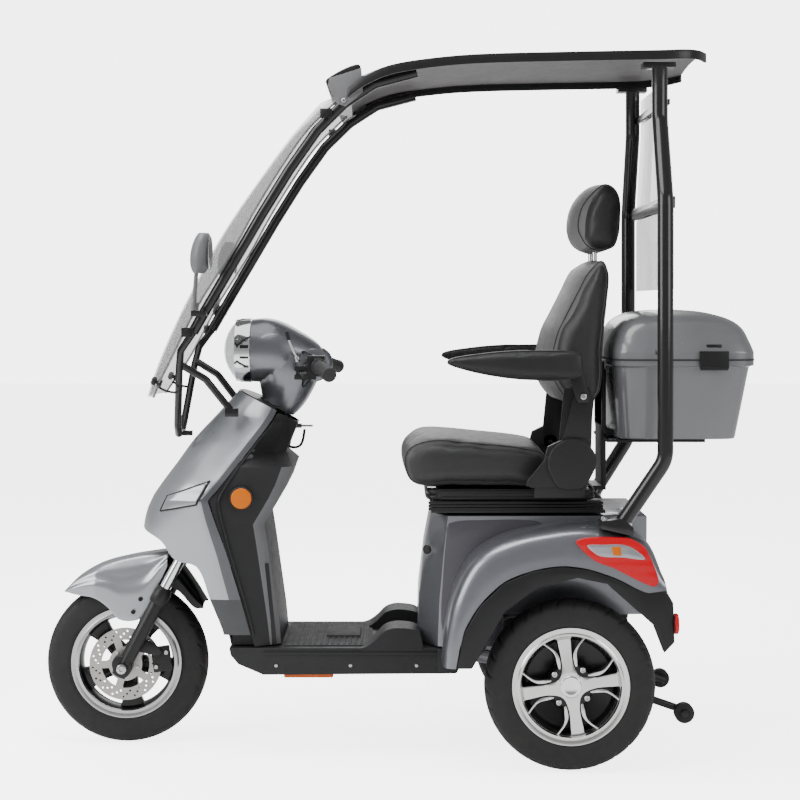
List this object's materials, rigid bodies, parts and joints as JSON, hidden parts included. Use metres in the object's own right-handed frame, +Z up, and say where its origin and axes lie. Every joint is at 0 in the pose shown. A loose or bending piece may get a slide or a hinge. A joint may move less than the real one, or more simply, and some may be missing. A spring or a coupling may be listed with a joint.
{
  "type": "mobility scooter",
  "caption": "Canopied mobility scooter with raked fork, flat deck, armchair seat, twin rear wheels, anti-tip rollers and rear luggage box.",
  "frame": {"origin": "on the ground under the middle of the overall box, midway between the front tyre's foremost point and the luggage box's rearmost point", "axes": "+X forward, +Y to the rider's left, +Z up"},
  "size_m": [1.7545, 0.7522, 1.7309],
  "materials": {
    "silver_paint": "metallic silver-grey painted plastic",
    "black_plastic": "fine-grained black plastic",
    "gloss_black": "gloss black painted steel tube",
    "frame_steel": "satin black painted steel",
    "rubber": "black tyre rubber",
    "grip_rubber": "ribbed black rubber",
    "alloy": "machined alloy with dark pockets",
    "disc_steel": "ground brake-disc steel",
    "chrome": "polished chrome",
    "cast_alloy": "cast alloy",
    "vinyl": "dark grey upholstery",
    "box_grey": "grey luggage-box plastic",
    "clear": "clear acrylic sheet",
    "smoke": "grey tinted sheet",
    "lens_clear": "clear lamp lens",
    "lens_red": "red lamp lens",
    "lens_amber": "amber reflector",
    "orange": "orange painted tray",
    "mirror": "black mirror housing"
  },
  "bodies": {
    "chassis": {"chassis_frame": "frame_steel", "steering_bearings": "chrome", "battery_pack": "black_plastic", "motor_controller": "cast_alloy", "front_shield": "silver_paint", "front_marker_lights": "lens_clear", "inner_leg_shield": "black_plastic", "side_reflectors": "lens_amber", "floor_pan": "black_plastic", "floor_mat": "grip_rubber", "belly_tray": "orange", "rear_body": "silver_paint", "rear_fenders": "silver_paint", "fender_trims": "black_plastic", "rear_lamps": "lens_red", "plate_holder": "black_plastic", "canopy_rear_frame": "gloss_black", "canopy_front_frame": "gloss_black", "roof_panel": "black_plastic", "windscreen": "clear", "windscreen_clamps": "black_plastic", "rear_window": "smoke", "seat_base_rails": "frame_steel"},
    "key": {"ignition_key": "chrome"},
    "steering": {"steering_stem": "frame_steel", "fork_stanchions": "chrome", "handlebar": "gloss_black", "headlight_shell": "silver_paint", "headlight_lens": "lens_clear", "switch_housings": "black_plastic", "left_grip": "grip_rubber"},
    "throttle": {"throttle_grip": "grip_rubber"},
    "left_lever": {"brake_lever_left": "frame_steel"},
    "right_lever": {"brake_lever_right": "frame_steel"},
    "fork": {"fork_legs": "gloss_black", "front_fender": "silver_paint", "front_caliper": "cast_alloy"},
    "front_wheel": {"front_tyre": "rubber", "front_rim": "alloy", "front_brake_disc": "disc_steel"},
    "rear_axle": {"rear_axle_housing": "cast_alloy", "shock_absorbers": "frame_steel"},
    "rear_wheel_left": {"rear_tyre_left": "rubber", "rear_rim_left": "alloy"},
    "rear_wheel_right": {"rear_tyre_right": "rubber", "rear_rim_right": "alloy"},
    "seat": {"seat_carriage": "frame_steel", "seat_cushion": "vinyl", "box_base": "box_grey"},
    "backrest": {"backrest": "vinyl"},
    "headrest": {"headrest_cushion": "vinyl", "headrest_posts": "chrome"},
    "armrest_left": {"armrest_left": "black_plastic"},
    "armrest_right": {"armrest_right": "black_plastic"},
    "lid": {"box_lid": "box_grey"},
    "latch": {"box_latch": "black_plastic"},
    "mirror_left": {"mirror_left": "mirror"},
    "mirror_right": {"mirror_right": "mirror"},
    "roller_left": {"anti_tip_roller_left": "grip_rubber"},
    "roller_right": {"anti_tip_roller_right": "grip_rubber"}
  },
  "joints": [
    {"name": "steering_turn", "type": "hinge", "parent": "chassis", "child": "steering", "pos_m": [0.6235, 0, 0.202], "axis": [-0.4695, 0, 0.8829], "range_deg": [-35, 35]},
    {"name": "fork_travel", "type": "slide", "parent": "steering", "child": "fork", "axis": [-0.4695, 0, 0.8829], "range_m": [-0.01, 0.03], "stiffness_N_per_m": 16000, "springref_m": -0.02},
    {"name": "front_wheel_spin", "type": "hinge", "parent": "fork", "child": "front_wheel", "pos_m": [0.6741, 0, 0.203], "axis": [0, 1, 0], "continuous": true},
    {"name": "throttle_twist", "type": "hinge", "parent": "steering", "child": "throttle", "pos_m": [0.1885, -0.165, 0.952], "axis": [-0.2492, -0.9589, -0.1359], "range_deg": [0, 50], "stiffness_Nm_per_rad": 0.3, "springref_deg": -5.73},
    {"name": "left_brake_squeeze", "type": "hinge", "parent": "steering", "child": "left_lever", "pos_m": [0.2345, 0.138, 0.933], "axis": [0, 0, 1], "range_deg": [0, 10], "stiffness_Nm_per_rad": 2, "springref_deg": -2.86},
    {"name": "right_brake_squeeze", "type": "hinge", "parent": "steering", "child": "right_lever", "pos_m": [0.2345, -0.138, 0.933], "axis": [0, 0, -1], "range_deg": [0, 10], "stiffness_Nm_per_rad": 2, "springref_deg": -2.86},
    {"name": "key_turn", "type": "hinge", "parent": "chassis", "child": "key", "pos_m": [0.2385, -0.034, 0.792], "axis": [1, 0, 0], "range_deg": [0, 90]},
    {"name": "rear_suspension", "type": "hinge", "parent": "chassis", "child": "rear_axle", "pos_m": [-0.1615, 0, 0.235], "axis": [0, 1, 0], "range_deg": [-2, 3], "stiffness_Nm_per_rad": 3000, "springref_deg": -3.44},
    {"name": "rear_wheel_left_spin", "type": "hinge", "parent": "rear_axle", "child": "rear_wheel_left", "pos_m": [-0.4129, 0.28, 0.203], "axis": [0, 1, 0], "continuous": true},
    {"name": "rear_wheel_right_spin", "type": "hinge", "parent": "rear_axle", "child": "rear_wheel_right", "pos_m": [-0.4129, -0.28, 0.203], "axis": [0, 1, 0], "continuous": true},
    {"name": "seat_slide", "type": "slide", "parent": "chassis", "child": "seat", "axis": [-1, 0, 0], "range_m": [-0.08, 0.03]},
    {"name": "backrest_fold", "type": "hinge", "parent": "seat", "child": "backrest", "pos_m": [-0.4115, 0, 0.735], "axis": [0, 1, 0], "range_deg": [0, 60]},
    {"name": "headrest_height", "type": "slide", "parent": "backrest", "child": "headrest", "axis": [0, 0, -1], "range_m": [-0.06, 0]},
    {"name": "armrest_left_lift", "type": "hinge", "parent": "seat", "child": "armrest_left", "pos_m": [-0.4465, 0, 0.882], "axis": [0, -1, 0], "range_deg": [0, 90]},
    {"name": "armrest_right_lift", "type": "hinge", "parent": "seat", "child": "armrest_right", "pos_m": [-0.4465, 0, 0.882], "axis": [0, -1, 0], "range_deg": [0, 90]},
    {"name": "box_lid_open", "type": "hinge", "parent": "seat", "child": "lid", "pos_m": [-0.5175, 0, 0.972], "axis": [0, 1, 0], "range_deg": [0, 14]},
    {"name": "box_latch_open", "type": "hinge", "parent": "seat", "child": "latch", "pos_m": [-0.7665, 0.2185, 0.946], "axis": [-1, 0, 0], "range_deg": [0, 60]},
    {"name": "mirror_left_turn", "type": "hinge", "parent": "chassis", "child": "mirror_left", "pos_m": [0.4775, 0.25, 1.09], "axis": [0, 0, 1], "range_deg": [-25, 25]},
    {"name": "mirror_right_turn", "type": "hinge", "parent": "chassis", "child": "mirror_right", "pos_m": [0.4775, -0.25, 1.09], "axis": [0, 0, 1], "range_deg": [-25, 25]},
    {"name": "roller_left_spin", "type": "hinge", "parent": "chassis", "child": "roller_left", "pos_m": [-0.6965, 0.2, 0.116], "axis": [0, 1, 0], "continuous": true},
    {"name": "roller_right_spin", "type": "hinge", "parent": "chassis", "child": "roller_right", "pos_m": [-0.6965, -0.2, 0.116], "axis": [0, 1, 0], "continuous": true}
  ]
}
